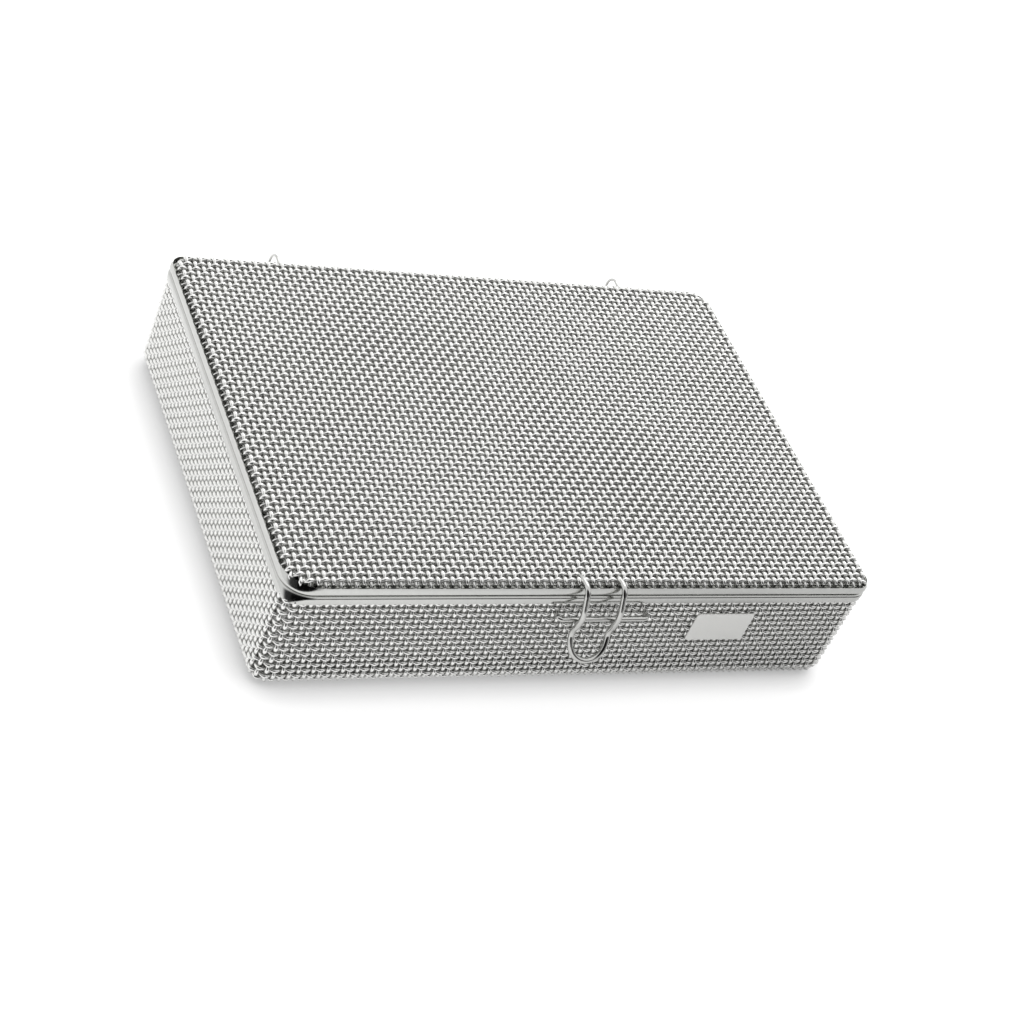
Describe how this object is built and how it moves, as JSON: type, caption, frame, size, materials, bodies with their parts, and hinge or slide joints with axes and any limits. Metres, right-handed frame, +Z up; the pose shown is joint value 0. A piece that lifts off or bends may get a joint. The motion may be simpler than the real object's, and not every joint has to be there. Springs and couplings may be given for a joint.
{
  "type": "mesh instrument box",
  "caption": "Shallow woven-wire instrument box with folded edge strips, a lid on wire hinge rings, a wire bail latch with a finger loop and a bare marking plate.",
  "frame": {"origin": "centre of the whole outline, on the underside of the tray", "axes": "+X to the right along the length, +Y to the back where the hinge rings are, +Z up; the latch faces -Y"},
  "size_m": [0.21, 0.1663, 0.0464],
  "materials": {
    "woven_wire": "bright drawn wire, plain weave",
    "polished_strip": "polished folded sheet",
    "polished_wire": "polished round wire",
    "satin_plate": "satin sheet, bare"
  },
  "bodies": {
    "tray": {"tray_wall_mesh": "woven_wire", "tray_floor_mesh": "woven_wire", "tray_rim_strip": "polished_strip", "hinge_ring_left": "polished_wire", "hinge_ring_right": "polished_wire", "catch_bar": "polished_wire", "marking_plate": "satin_plate"},
    "lid": {"lid_mesh": "woven_wire", "lid_frame_strip": "polished_strip"},
    "latch": {"latch_bail": "polished_wire"}
  },
  "joints": [
    {"name": "lid_hinge", "type": "hinge", "parent": "tray", "child": "lid", "pos_m": [0, 0.07804, 0.04085], "axis": [-1, 0, 0], "range_deg": [0, 180]},
    {"name": "latch_swing", "type": "hinge", "parent": "lid", "child": "latch", "pos_m": [0.001, -0.06771, 0.0439], "axis": [-1, 0, 0], "range_deg": [0, 60]}
  ]
}
